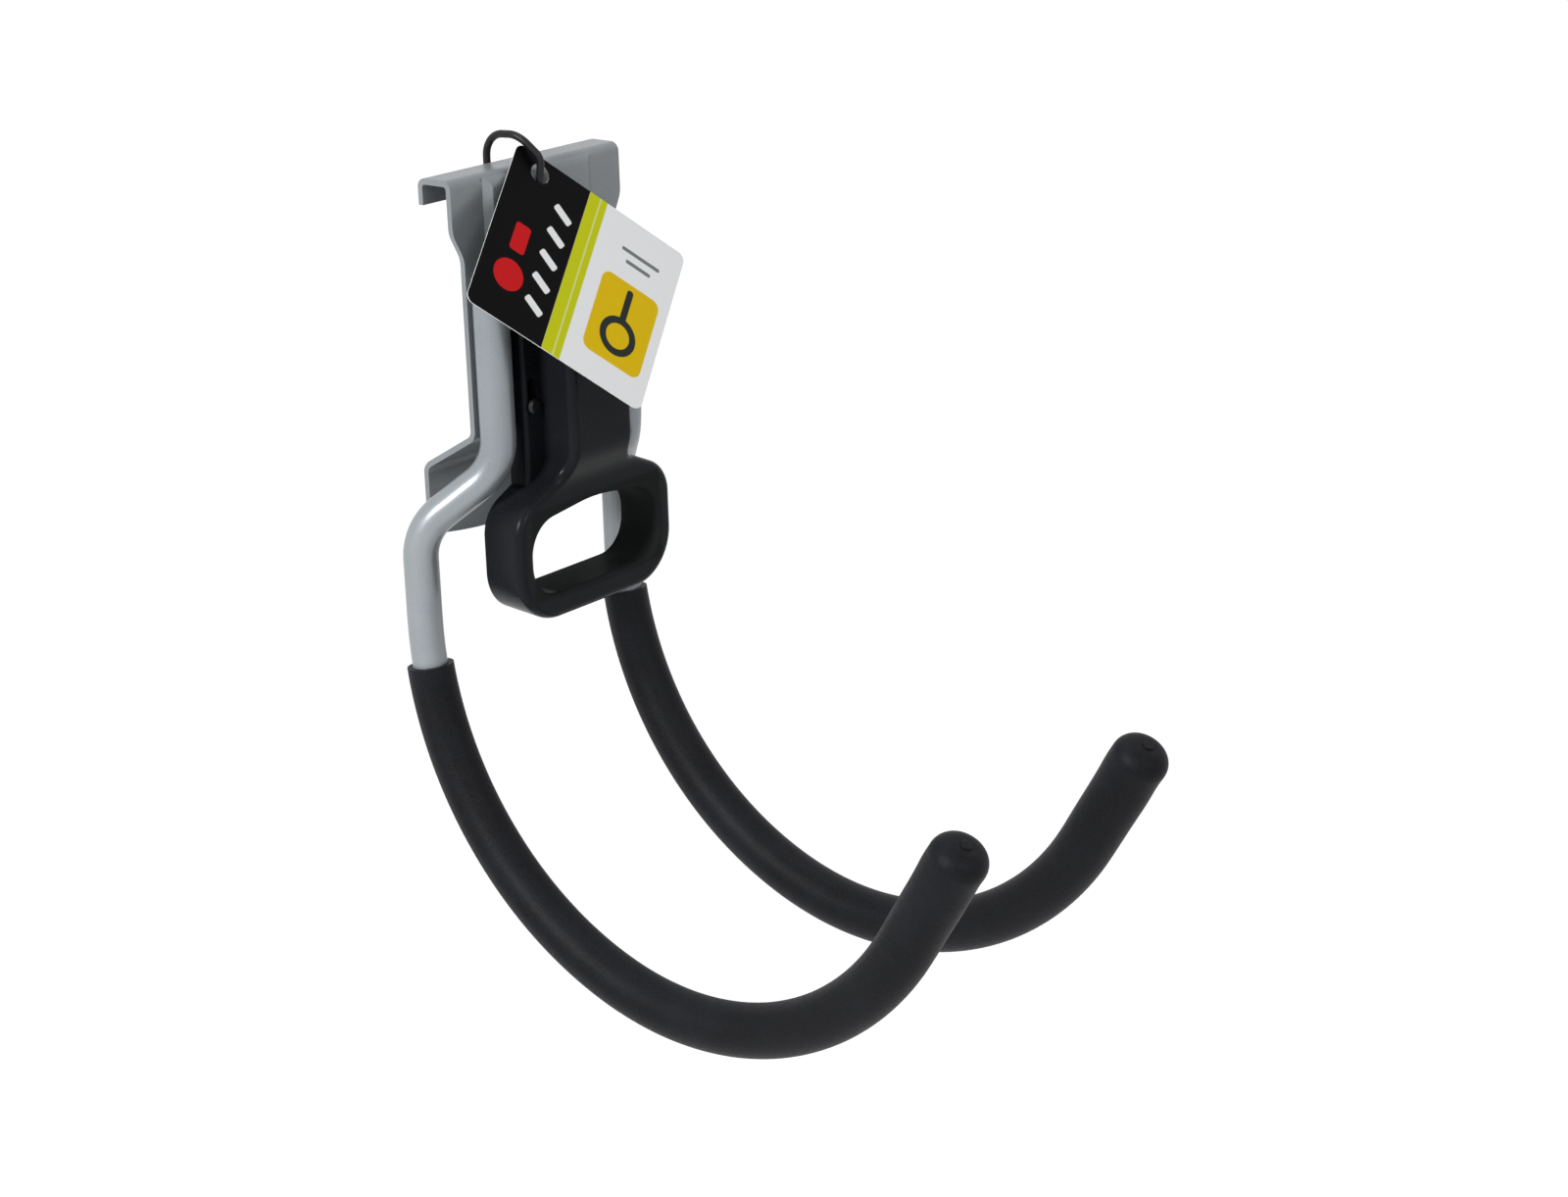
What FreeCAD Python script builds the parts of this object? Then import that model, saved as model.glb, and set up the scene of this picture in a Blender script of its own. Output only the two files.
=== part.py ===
"""Wall-rail utility hook: a stamped backplate that hangs on a rail, two bent rods with soft grips,
a sprung pull-down latch and a hang tag on a moulded loop.

Millimetres. X runs across the hook, -Y points away from the wall and +Z is up. The origin is the middle of
the underside of the top flange, where the hook hangs on the rail's upper lip.
"""
import FreeCAD
import Part
import math
import os

V = FreeCAD.Vector

# Working values
NEAR = 1e-4                    # two places closer than this are the same
BEYOND = 1.0                   # a solid that cuts or trims another reaches this far past it
JOIN = 0.5                     # a solid that is fused to another runs this far into it

# Sheet steel backplate
SHEET = 2.0                    # thickness of the sheet
WEB_SETBACK = 4.75             # web's back, from the middle of the rail's upper lip
RAIL_LIP_GAP = 10.8            # room between the web and the lip for the rail's upper lip
LIP_HEIGHT = 9.0               # lip, from the top of the flange to its lower edge
FOLD_RADIUS = 3.2              # outer radius of the two folds of the flange
STEP_RADIUS = 5.0              # outer radius of the two bends of the step
FLANGE_HALF = 40.6             # half width at the flange
WAIST_HALF = 36.0              # half width of the web
FOOT_HALF = 37.8               # half width of the foot
SHOULDER_Z = -15.5             # where the sides start to draw in
WAIST_Z = -24.5                # where they have drawn in
STEP_TOP_Z = -85.5             # corner of the web and the step
STEP_DROP = 12.8               # height of the step
STEP_BACK = 21.5               # how far the foot stands behind the web
FOOT_SIDE_Z = -121.3           # lower end of the foot's straight sides
FOOT_BOTTOM_Z = -125.2         # lowest point of the foot's curved edge
FOOT_CORNER = 8.0              # radius of the foot's lower corners
SIDE_RADIUS = 9.0              # radius where the sides draw in

# Raised panel pressed into the web
PANEL_RISE = 2.0               # how far it stands in front of the web
PANEL_HALF = 26.0              # half width at its foot
PANEL_TOP_Z = 8.0              # above the flange, so that the panel runs up into the fold
PANEL_BOTTOM_Z = -82.5
PANEL_SLOPE = 3.0              # width of its sloping sides
PANEL_CORNER = 5.0

# Round steel rods
ROD_R = 6.0
ROD_CHAMFER = 0.8
UPPER_LEG_X = 31.2             # the upper legs lie on the web beside the raised panel
LOWER_LEG_X = 49.5             # the lower legs, after the jog
LOWER_LEG_BACK = 21.5          # how far the lower legs stand behind the upper ones
ROD_TOP_Z = -31.0
JOG_TOP_Z = -94.6              # corner of the upper leg and the slanting run
JOG_DROP = 21.3                # height of the slanting run
JOG_RADIUS = 20.0              # bend radius at the jog, at the rod's axis
ARM_BEND_Z = -147.2            # where the arm starts to curve forward
ARM_RADIUS_1 = 117.3
ARM_ANGLE_1 = 73.1
ARM_RADIUS_2 = 103.7
ARM_ANGLE_2 = 76.3
ARM_END = 38.2                 # straight run at the end of the arm
ROD_SHORT = 5.0                # the rod ends this far inside the end of the grip's straight run

# Dipped foam grips
GRIP_TOP_Z = -163.5
GRIP_R_START = 8.0
GRIP_R_END = 9.75
GRIP_STATIONS = 29
GRIP_FIT = 0.05                # clearance between the rod and the grip's bore
GRIP_DOME = 0.72               # height of the rounded end over its radius
GRIP_DOME_ROUND = 0.66         # its edge rounding over its radius
NIB_R = 2.0                    # little drip mark at the very end of the grip
NIB_RISE = 0.6
NIB_ROUND = 0.48

# Weld beads beside the upper legs
BEAD_REACH = 4.4               # wedge, from below the rod's axis, before the rod is taken out of it
BEAD_LENGTH = 14.0
BEAD_TOPS_Z = (-34.0, -65.0)
BEAD_FIT = 0.02

# Moulded latch
SLIDE_GAP = 0.3                # running gap between the latch and the raised panel
LATCH_TOP_Z = -39.0
BASE_HALF = 22.5
BASE_DEPTH = 8.0               # base, from its sliding face to its front
RIB_HALF = 14.7
RIB_DEPTH = 23.0               # rib, from the sliding face to its front
RIB_FOOT_Z = -93.0             # where the rib's front starts to run back to the ring
RIB_FOOT_END_Z = -103.0
RIB_FOOT_ROUND = 14.0
BASE_ROUND = 1.6
BASE_TAIL = 6.0                # how far the base runs on below the throat, inside the ring
BASE_FLOOR = 1.5               # floor of the base's hollow, above the throat
LATCH_WALL = 2.2
RING_DEPTH = 17.8              # finger ring, from the sliding face to its front
RING_HALF = 38.3               # at its front
RING_THROAT_Z = -98.0          # where the rib opens out into the ring's shoulders
RING_SHOULDER_Z = -108.8       # outer end of the sloping shoulders
RING_BOTTOM_Z = -148.7
RING_THROAT_ROUND = 9.0
RING_SHOULDER_ROUND = 13.0
RING_CORNER_ROUND = 19.0
RING_DRAFT = 1.6               # the ring is this much smaller all round at the sliding face
FRONT_ROUND = 2.8              # front edges of the rib and the ring
HOLE_HALF = 31.2               # finger opening
HOLE_CROWN_Z = -110.3          # middle of its arched top
HOLE_SHOULDER_Z = -114.0
HOLE_BOTTOM_Z = -139.6
HOLE_CROWN_ROUND = 60.0
HOLE_ROUND = 12.0
HOLE_EDGE_ROUND = 2.0
TRAVEL = 8.0                   # how far the latch pulls down

# Catch behind the rail's lower lip
CATCH_HALF = 7.0
CATCH_BRIDGE_TOP_Z = -86.2
CATCH_BRIDGE_HEIGHT = 6.0
CATCH_LIP_GAP = 4.2            # room between the web's back and the finger for the rail's lower lip
CATCH_THICK = 3.4
CATCH_TIP_Z = -76.5
CATCH_RAMP = 2.0
WINDOW_PLAY = 1.5              # room around the catch in the backplate's window

# Spring and the tab that it stands on
TAB_HALF = 5.5
TAB_PLAY = 1.0                 # window, beside the tab
TAB_Z = -67.0                  # top face of the tab
TAB_REACH = 17.5               # tab, from the panel's front to its tip
TAB_FOLD = 2.4
SPRING_R = 4.2                 # at the wire's axis
SPRING_WIRE_R = 0.65
SPRING_TURNS = 7.0
SPRING_FORWARD = 11.5          # spring's axis, from the panel's front
SPRING_FIT = 0.25
PEG_R = 2.7
PEG_LENGTH = 7.0

# Shoulder rivets that guide the latch
RIVET_X = 18.6
RIVET_ZS = (-48.0, -76.0)
RIVET_SHANK_R = 1.6
RIVET_TENON_R = 1.3
RIVET_HEAD_R = 2.9
RIVET_HEAD_H = 1.5
RIVET_HEAD_ROUND = 1.275
RIVET_TAIL_R = 2.4
RIVET_TAIL_H = 1.2
RIVET_PLAY = 0.3               # clearance in the slot and under the head
TENON_FIT = 0.05
SLOT_STRAIGHT = 0.01           # straight run left between the two arcs of a slot's end

# Moulded loop for the tag
LOOP_R = 1.3
LOOP_HOLE_R = 3.2
LOOP_HOLE_X = -4.0
LOOP_HOLE_Z = -14.0
LOOP_POINTS = (
    (-6.4, 9.8, -11.4), (-6.4, 9.8, 10.9), (-6.6, -5.4, 11.9),
    (-3.4, -12.2, 4.3), (-4.0, -10.2, -14.2), (-4.0, 1.8, -14.6),
)
LOOP_RADII = (4.0, 8.3, 8.3, 5.0, 3.0, 4.0)

# Hang tag
TAG_LONG = 72.0
TAG_SHORT = 65.4
TAG_THICK = 0.5
TAG_CORNER = 3.0
TAG_HOLE_R = 3.6
TAG_HOLE_IN = (11.0, 6.0)      # hole, from the card's two edges
TAG_TURN = 44.8                # how far the card hangs turned in its own plane
TAG_LEAN = 28.9                # how far its foot leans out from upright
TAG_YAW = -3.9
TAG_HOLE_AT = (-3.56, -11.42, -1.22)

# Places worked out from the sizes above
WEB_BACK_Y = -WEB_SETBACK
WEB_FRONT_Y = WEB_BACK_Y - SHEET
LIP_BACK_Y = WEB_BACK_Y + RAIL_LIP_GAP + SHEET
FOOT_FRONT_Y = WEB_FRONT_Y + STEP_BACK
STEP_END_Z = STEP_TOP_Z - STEP_DROP
PANEL_FRONT_Y = WEB_FRONT_Y - PANEL_RISE
UPPER_LEG_Y = WEB_FRONT_Y - ROD_R
LOWER_LEG_Y = UPPER_LEG_Y + LOWER_LEG_BACK
SLIDE_Y = PANEL_FRONT_Y - SLIDE_GAP
BASE_FRONT_Y = SLIDE_Y - BASE_DEPTH
RIB_FRONT_Y = SLIDE_Y - RIB_DEPTH
RING_FRONT_Y = SLIDE_Y - RING_DEPTH
SPRING_Y = PANEL_FRONT_Y - SPRING_FORWARD
CEILING_Z = LATCH_TOP_Z - LATCH_WALL
LEG_END_Z = ARM_BEND_Z + ROD_R  # the runs of the legs and the arm meet here


def rounded_edges(points, radii, closed=False):
    """Straight runs through the points, joined by tangent arcs; a radius of 0 leaves a sharp corner."""
    count = len(points)
    starts, ends, arcs = [], [], []
    for i, point in enumerate(points):
        if radii[i] == 0:
            starts.append(point)
            ends.append(point)
            arcs.append(None)
            continue
        before = (points[i - 1] - point).normalize()
        after = (points[(i + 1) % count] - point).normalize()
        half = before.getAngle(after) / 2
        reach = radii[i] / math.tan(half)
        middle = (before + after).normalize()
        centre = point + middle * (radii[i] / math.sin(half))
        start = point + before * reach
        end = point + after * reach
        starts.append(start)
        ends.append(end)
        arcs.append(Part.Arc(start, centre - middle * radii[i], end).toShape())
    edges = []
    for i in range(count):
        if arcs[i] is not None:
            edges.append(arcs[i])
        if i < count - 1 or closed:
            edges.append(Part.LineSegment(ends[i], starts[(i + 1) % count]).toShape())
    return edges


def tube(edges, radius):
    """Round bar of the given radius along a smooth run of edges."""
    start = edges[0].valueAt(edges[0].FirstParameter)
    heading = edges[0].tangentAt(edges[0].FirstParameter)
    ring = Part.Wire([Part.makeCircle(radius, start, heading)])
    return Part.Wire(edges).makePipeShell([ring], True, False)


def prism_y(points, radii, y_from, y_to):
    """Closed rounded outline in X and Z, given as (x, z), drawn out along Y."""
    corners = [V(x, y_from, z) for x, z in points]
    face = Part.Face(Part.Wire(rounded_edges(corners, radii, closed=True)))
    return face.extrude(V(0, y_to - y_from, 0))


def prism_x(points, radii, x_from, x_to):
    """Closed rounded outline in Y and Z, given as (y, z), drawn out along X."""
    corners = [V(x_from, y, z) for y, z in points]
    face = Part.Face(Part.Wire(rounded_edges(corners, radii, closed=True)))
    return face.extrude(V(x_to - x_from, 0, 0))


def mirrored(points, radii):
    """Right-hand half of an outline, completed with its mirror image."""
    other = [(-x, z) for x, z in reversed(points)]
    return points + other, radii + list(reversed(radii))


def edges_at_y(shape, y):
    """Edges that lie wholly in the plane at this y."""
    return [e for e in shape.Edges if abs(e.BoundBox.YMin - y) < NEAR and abs(e.BoundBox.YMax - y) < NEAR]


def rim_at(shape, centre):
    """Round edges of the shape that are centred on this point."""
    circles = [e for e in shape.Edges if isinstance(e.Curve, Part.Circle)]
    return [e for e in circles if (e.Curve.Center - centre).Length < NEAR]


def box(x0, x1, y0, y1, z0, z1):
    return Part.makeBox(x1 - x0, y1 - y0, z1 - z0, V(x0, y0, z0))


def bent_sheet():
    """Section of the backplate, drawn along its outer face and thickened inwards, at full width."""
    spare = 5.0
    outer = [
        (LIP_BACK_Y, SHEET - LIP_HEIGHT), (LIP_BACK_Y, SHEET), (WEB_FRONT_Y, SHEET),
        (WEB_FRONT_Y, STEP_TOP_Z), (FOOT_FRONT_Y, STEP_END_Z), (FOOT_FRONT_Y, FOOT_BOTTOM_Z - spare),
    ]
    # The sheet lies behind this line, so at the second bend of the step the line is the inner, smaller arc.
    radii = [0, FOLD_RADIUS, FOLD_RADIUS, STEP_RADIUS, STEP_RADIUS - SHEET, 0]
    width = FLANGE_HALF + spare
    line = Part.Wire(rounded_edges([V(-width, y, z) for y, z in outer], radii))
    faces = [line.makeOffset2D(side * SHEET, 0, True, True, False) for side in (1, -1)]
    # Of the two sides, the one that adds nothing to the height is behind the line.
    inner = min(faces, key=lambda face: face.BoundBox.YLength + face.BoundBox.ZLength)
    return inner.extrude(V(2 * width, 0, 0))


def plate_outline():
    """Front view of the backplate: wide flange, waist and foot with a curved lower edge."""
    above = 8.0
    half = [
        (FLANGE_HALF, above), (FLANGE_HALF, SHOULDER_Z), (WAIST_HALF, WAIST_Z), (WAIST_HALF, STEP_TOP_Z),
        (FOOT_HALF, STEP_END_Z), (FOOT_HALF, FOOT_SIDE_Z),
    ]
    radii = [0, SIDE_RADIUS, SIDE_RADIUS, SIDE_RADIUS, SIDE_RADIUS, 0]
    depth = 40.0
    right = rounded_edges([V(x, -depth, z) for x, z in half], radii)
    left = rounded_edges([V(-x, -depth, z) for x, z in reversed(half)], list(reversed(radii)))
    low = V(0, -depth, FOOT_BOTTOM_Z)
    curve = Part.Arc(V(FOOT_HALF, -depth, FOOT_SIDE_Z), low, V(-FOOT_HALF, -depth, FOOT_SIDE_Z)).toShape()
    lid = Part.LineSegment(V(-FLANGE_HALF, -depth, above), V(FLANGE_HALF, -depth, above)).toShape()
    solid = Part.Face(Part.Wire(right + [curve] + left + [lid])).extrude(V(0, 2 * depth, 0))
    corners = []
    for edge in solid.Edges:
        middle = edge.CenterOfMass
        along_y = edge.BoundBox.YLength > depth and edge.BoundBox.XLength < NEAR
        if along_y and abs(middle.z - FOOT_SIDE_Z) < NEAR:
            corners.append(edge)
    return solid.makeFillet(FOOT_CORNER, corners)


def panel_block(y_foot, fold_radius):
    """Low pyramid of the raised panel, with its foot at the given y; its top bends back with the fold."""
    def outline(inset, y):
        x = PANEL_HALF - inset
        bottom = PANEL_BOTTOM_Z + inset
        corners = [V(x, y, PANEL_TOP_Z), V(x, y, bottom), V(-x, y, bottom), V(-x, y, PANEL_TOP_Z)]
        return Part.Wire(rounded_edges(corners, [0, PANEL_CORNER, PANEL_CORNER, 0], closed=True))
    front = y_foot - PANEL_RISE
    block = Part.makeLoft([outline(0, y_foot), outline(PANEL_SLOPE, front)], True, True)
    top = SHEET - (y_foot - WEB_FRONT_Y)
    back = y_foot + PANEL_RISE
    low = PANEL_BOTTOM_Z - BEYOND
    profile = [(back, top), (front, top), (front, low), (back, low)]
    bent = prism_x(profile, [0, fold_radius, 0, 0], -PANEL_HALF - BEYOND, PANEL_HALF + BEYOND)
    return block.common(bent)


def spring_tab():
    """Tab lanced from the panel and folded forward to carry the spring, and the window it leaves."""
    upright_y = PANEL_FRONT_Y + SHEET / 2
    start_z = TAB_Z + TAB_FOLD
    middle_z = TAB_Z - SHEET / 2
    path = [V(0, upright_y, start_z), V(0, upright_y, middle_z), V(0, PANEL_FRONT_Y - TAB_REACH, middle_z)]
    edges = rounded_edges(path, [0, TAB_FOLD, 0])
    ends = ((-TAB_HALF, -1), (TAB_HALF, -1), (TAB_HALF, 1), (-TAB_HALF, 1))
    corners = [V(x, upright_y + face * SHEET / 2, start_z) for x, face in ends]
    section = Part.makePolygon(corners + [corners[0]])
    tab = Part.Wire(edges).makePipeShell([section], True, False)
    side = TAB_HALF + TAB_PLAY
    window = box(-side, side, PANEL_FRONT_Y - BEYOND, WEB_BACK_Y + BEYOND, start_z, TAB_Z + TAB_REACH)
    return tab, window


def drilled(plate, radius, x, z):
    """The plate with a round hole through its raised panel."""
    return plate.cut(Part.makeCylinder(radius, 4 * SHEET, V(x, PANEL_FRONT_Y - SHEET, z), V(0, 1, 0)))


def backplate():
    """Bent sheet trimmed to its outline, with the raised panel, its holes and the tab for the spring."""
    plate = bent_sheet().common(plate_outline())
    plate = plate.fuse(panel_block(WEB_FRONT_Y, FOLD_RADIUS + PANEL_RISE))
    plate = plate.cut(panel_block(WEB_BACK_Y, FOLD_RADIUS + PANEL_RISE - SHEET))
    for x, z in rivet_places():
        plate = drilled(plate, RIVET_TENON_R + TENON_FIT, x, z)
    plate = drilled(plate, LOOP_HOLE_R, LOOP_HOLE_X, LOOP_HOLE_Z)
    side = CATCH_HALF + WINDOW_PLAY
    top = CATCH_BRIDGE_TOP_Z + WINDOW_PLAY
    back = WEB_BACK_Y + CATCH_LIP_GAP + CATCH_THICK + WINDOW_PLAY
    plate = plate.cut(box(-side, side, WEB_FRONT_Y - 2 * PANEL_RISE, back, STEP_END_Z - SHEET, top))
    tab, window = spring_tab()
    return plate.cut(window).fuse(tab).removeSplitter()


def arm_edges(side, z_from, end):
    """Axis of an arm from a height on the lower leg to its tip, with the last run of the given length."""
    x = side * LOWER_LEG_X
    bend = V(x, LOWER_LEG_Y, ARM_BEND_Z)
    edges = [Part.LineSegment(V(x, LOWER_LEG_Y, z_from), bend).toShape()]
    heading = 0.0
    for radius, angle in ((ARM_RADIUS_1, ARM_ANGLE_1), (ARM_RADIUS_2, ARM_ANGLE_2)):
        # heading is measured from straight down, turning forward
        start = heading
        centre = bend + V(0, -math.cos(start), math.sin(start)) * radius
        points = []
        for share in (0.5, 1.0):
            turn = start + math.radians(angle) * share
            points.append(centre - V(0, -math.cos(turn), math.sin(turn)) * radius)
        edges.append(Part.Arc(bend, points[0], points[1]).toShape())
        bend = points[1]
        heading = start + math.radians(angle)
    tip = bend + V(0, -math.sin(heading), -math.cos(heading)) * end
    edges.append(Part.LineSegment(bend, tip).toShape())
    return edges, tip, V(0, -math.sin(heading), -math.cos(heading))


def rod(side):
    """One bent rod: upper leg on the web, jog out and back, lower leg and arm."""
    upper_x = side * UPPER_LEG_X
    lower_x = side * LOWER_LEG_X
    route = [
        V(upper_x, UPPER_LEG_Y, ROD_TOP_Z), V(upper_x, UPPER_LEG_Y, JOG_TOP_Z),
        V(lower_x, LOWER_LEG_Y, JOG_TOP_Z - JOG_DROP), V(lower_x, LOWER_LEG_Y, LEG_END_Z),
    ]
    legs = rounded_edges(route, [0, JOG_RADIUS, JOG_RADIUS, 0])
    arm, tip, _ = arm_edges(side, LEG_END_Z, ARM_END - ROD_SHORT)
    bar = tube(legs + arm, ROD_R)
    return bar.makeChamfer(ROD_CHAMFER, rim_at(bar, route[0]) + rim_at(bar, tip))


def grip(side):
    """Foam grip that thickens towards its rounded end, with a small drip mark there."""
    _, tip, heading = arm_edges(side, GRIP_TOP_Z, ARM_END)
    # The grip starts part of the way round the first curve.
    drop = math.asin((ARM_BEND_Z - GRIP_TOP_Z) / ARM_RADIUS_1)
    x = side * LOWER_LEG_X
    stations = []
    length_1 = math.radians(ARM_ANGLE_1) - drop
    length_2 = math.radians(ARM_ANGLE_2)
    total = length_1 * ARM_RADIUS_1 + length_2 * ARM_RADIUS_2 + ARM_END
    for i in range(GRIP_STATIONS):
        share = i / (GRIP_STATIONS - 1)
        point, direction = arm_point(x, drop, share * total)
        radius = GRIP_R_START + (GRIP_R_END - GRIP_R_START) * share
        stations.append((point, direction, radius))
    circles = [Part.Wire([Part.makeCircle(r, p, d)]) for p, d, r in stations]
    body = Part.makeLoft(circles, True, False)
    height = GRIP_R_END * GRIP_DOME
    dome = Part.makeCylinder(GRIP_R_END, height, tip, heading)
    dome = dome.makeFillet(GRIP_R_END * GRIP_DOME_ROUND, rim_at(dome, tip + heading * height))
    nib = Part.makeCylinder(NIB_R, height + NIB_RISE - BEYOND, tip + heading * BEYOND, heading)
    nib = nib.makeFillet(NIB_ROUND, rim_at(nib, tip + heading * (height + NIB_RISE)))
    solid = body.fuse([dome, nib])
    bore_edges, _, _ = arm_edges(side, LEG_END_Z, ARM_END - ROD_SHORT)
    return solid.cut(tube(bore_edges, ROD_R + GRIP_FIT)).removeSplitter()


def arm_point(x, drop, distance):
    """Point and heading on the arm's axis, this far along it from where the grip starts."""
    bend = V(x, LOWER_LEG_Y, ARM_BEND_Z)
    centre = bend + V(0, -ARM_RADIUS_1, 0)
    length_1 = (math.radians(ARM_ANGLE_1) - drop) * ARM_RADIUS_1
    length_2 = math.radians(ARM_ANGLE_2) * ARM_RADIUS_2
    turn = drop + min(distance, length_1) / ARM_RADIUS_1
    point = centre - V(0, -math.cos(turn), math.sin(turn)) * ARM_RADIUS_1
    if distance > length_1:
        centre = point + V(0, -math.cos(turn), math.sin(turn)) * ARM_RADIUS_2
        turn += min(distance - length_1, length_2) / ARM_RADIUS_2
        point = centre - V(0, -math.cos(turn), math.sin(turn)) * ARM_RADIUS_2
    heading = V(0, -math.sin(turn), -math.cos(turn))
    if distance > length_1 + length_2:
        point = point + heading * (distance - length_1 - length_2)
    return point, heading


def weld_beads():
    """Fillet welds along the inner side of each upper leg."""
    beads = []
    for side in (-1, 1):
        for top in BEAD_TOPS_Z:
            leg_x = side * UPPER_LEG_X
            corner = V(leg_x, WEB_FRONT_Y, top)
            points = [corner, corner - V(side * BEAD_REACH, 0, 0), corner - V(0, BEAD_REACH, 0), corner]
            wedge = Part.Face(Part.makePolygon(points)).extrude(V(0, 0, -BEAD_LENGTH))
            low = V(leg_x, UPPER_LEG_Y, top - BEAD_LENGTH - BEYOND)
            bead = wedge.cut(Part.makeCylinder(ROD_R + BEAD_FIT, BEAD_LENGTH + 2 * BEYOND, low, V(0, 0, 1)))
            beads.append(max(bead.Solids, key=lambda s: s.Volume))
    return Part.makeCompound(beads)


def rivet_places():
    return [(side * RIVET_X, z) for side in (-1, 1) for z in RIVET_ZS]


def guide_rivets():
    """Shoulder rivets: tail behind the panel, tenon, shoulder through the latch's slot, domed head."""
    rivets = []
    forward = V(0, -1, 0)
    panel_back_y = PANEL_FRONT_Y + SHEET
    head_y = BASE_FRONT_Y - RIVET_PLAY
    for x, z in rivet_places():
        tail = Part.makeCylinder(RIVET_TAIL_R, RIVET_TAIL_H, V(x, panel_back_y + RIVET_TAIL_H, z), forward)
        tenon = Part.makeCylinder(RIVET_TENON_R, SHEET + 2 * JOIN, V(x, panel_back_y + JOIN, z), forward)
        shank_length = PANEL_FRONT_Y - head_y + JOIN
        shank = Part.makeCylinder(RIVET_SHANK_R, shank_length, V(x, PANEL_FRONT_Y, z), forward)
        head = Part.makeCylinder(RIVET_HEAD_R, RIVET_HEAD_H, V(x, head_y, z), forward)
        head = head.makeFillet(RIVET_HEAD_ROUND, edges_at_y(head, head_y - RIVET_HEAD_H))
        rivets.append(tail.fuse([tenon, shank, head]).removeSplitter())
    return Part.makeCompound(rivets)


def front_profile(inset, bottom):
    """Side view of the latch's front: upright along the rib, then back to the ring in one soft bend."""
    top = LATCH_TOP_Z - inset
    front = RIB_FRONT_Y + inset
    toe = RING_FRONT_Y + inset
    profile = [
        (SLIDE_Y, top), (front, top), (front, RIB_FOOT_Z + inset),
        (toe, RIB_FOOT_END_Z + inset), (toe, bottom), (SLIDE_Y, bottom),
    ]
    return profile, [0, 0, RIB_FOOT_ROUND, RIB_FOOT_ROUND, 0, 0]


def latch_outline(y, inset):
    """Front view of the rib and the ring with its sloping shoulders."""
    rib = RIB_HALF - inset / 4
    half = RING_HALF - inset
    corners = [
        (rib, LATCH_TOP_Z), (rib, RING_THROAT_Z - inset),
        (half, RING_SHOULDER_Z - inset), (half, RING_BOTTOM_Z + inset),
    ]
    rounds = [0, RING_THROAT_ROUND, RING_SHOULDER_ROUND, RING_CORNER_ROUND - 2 * inset]
    points, radii = mirrored(corners, rounds)
    return Part.Wire(rounded_edges([V(x, y, z) for x, z in points], radii, closed=True))


def finger_opening():
    """Opening for the fingers, arched at its top."""
    corners = [(HOLE_HALF, HOLE_SHOULDER_Z), (HOLE_HALF, HOLE_BOTTOM_Z)]
    points, radii = mirrored(corners, [HOLE_ROUND, HOLE_ROUND])
    crown = (0, HOLE_CROWN_Z)
    return prism_y([crown] + points, [HOLE_CROWN_ROUND] + radii, SLIDE_Y + BEYOND, RIB_FRONT_Y)


def is_bend_line(edge):
    """Whether an edge runs level across the latch's front, between its top and its bottom."""
    room = edge.BoundBox
    across = room.ZLength < NEAR and room.XMin < -BEYOND and room.XMax > BEYOND
    return across and LATCH_TOP_Z - BEYOND > room.ZMin > RING_BOTTOM_Z + BEYOND


def is_around_hole(edge):
    """Whether an edge lies within the finger opening's height and width."""
    slack = 10 * NEAR
    room = edge.BoundBox
    in_height = room.ZMax < HOLE_CROWN_Z + slack and room.ZMin > HOLE_BOTTOM_Z - slack
    return in_height and max(-room.XMin, room.XMax) < HOLE_HALF + slack


def rib_and_ring():
    """Rib and finger ring in one, with all their front edges rounded."""
    flare = RING_DRAFT * (1 - RIB_DEPTH / RING_DEPTH)
    block = Part.makeLoft([latch_outline(SLIDE_Y, RING_DRAFT), latch_outline(RIB_FRONT_Y, flare)], True, True)
    profile, radii = front_profile(0, RING_BOTTOM_Z - BEYOND)
    block = block.common(prism_x(profile, radii, -RING_HALF - BEYOND, RING_HALF + BEYOND))
    shortest = 0.5
    rim = []
    for edge in block.Edges:
        room = edge.BoundBox
        at_front = room.YMax < BASE_FRONT_Y - BEYOND and room.XLength + room.ZLength > shortest
        if at_front and not is_bend_line(edge):
            rim.append(edge)
    block = block.makeFillet(FRONT_ROUND, rim).cut(finger_opening())
    rim = [e for e in edges_at_y(block, RING_FRONT_Y) if is_around_hole(e)]
    return block.makeFillet(HOLE_EDGE_ROUND, rim)


def latch():
    """Hollow moulded latch: base, rib, finger ring and catch."""
    base = box(-BASE_HALF, BASE_HALF, BASE_FRONT_Y, SLIDE_Y, RING_THROAT_Z - BASE_TAIL, LATCH_TOP_Z)
    rounded = []
    for edge in base.Edges:
        middle = edge.CenterOfMass
        at_front = abs(middle.y - BASE_FRONT_Y) < NEAR
        at_side = abs(abs(middle.x) - BASE_HALF) < NEAR
        at_top = abs(middle.z - LATCH_TOP_Z) < NEAR
        if at_front + at_side + at_top == 2:
            rounded.append(edge)
    base = base.makeFillet(BASE_ROUND, rounded)
    body = base.fuse(rib_and_ring()).cut(latch_hollow())
    for x, z in rivet_places():
        body = body.cut(rivet_slot(x, z))
    peg = Part.makeCylinder(PEG_R, PEG_LENGTH, V(0, SPRING_Y, CEILING_Z - PEG_LENGTH))
    return body.fuse([peg, catch()]).removeSplitter()


def latch_hollow():
    """Space inside the latch, open towards the plate."""
    inner = BASE_HALF - LATCH_WALL
    floor_z = RING_THROAT_Z + BASE_FLOOR
    base = box(-inner, inner, BASE_FRONT_Y + LATCH_WALL, SLIDE_Y + BEYOND, floor_z, CEILING_Z)
    profile, radii = front_profile(LATCH_WALL, RING_THROAT_Z - BASE_TAIL)
    half = RIB_HALF - LATCH_WALL
    return base.fuse(prism_x(profile, radii, -half, half))


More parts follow.
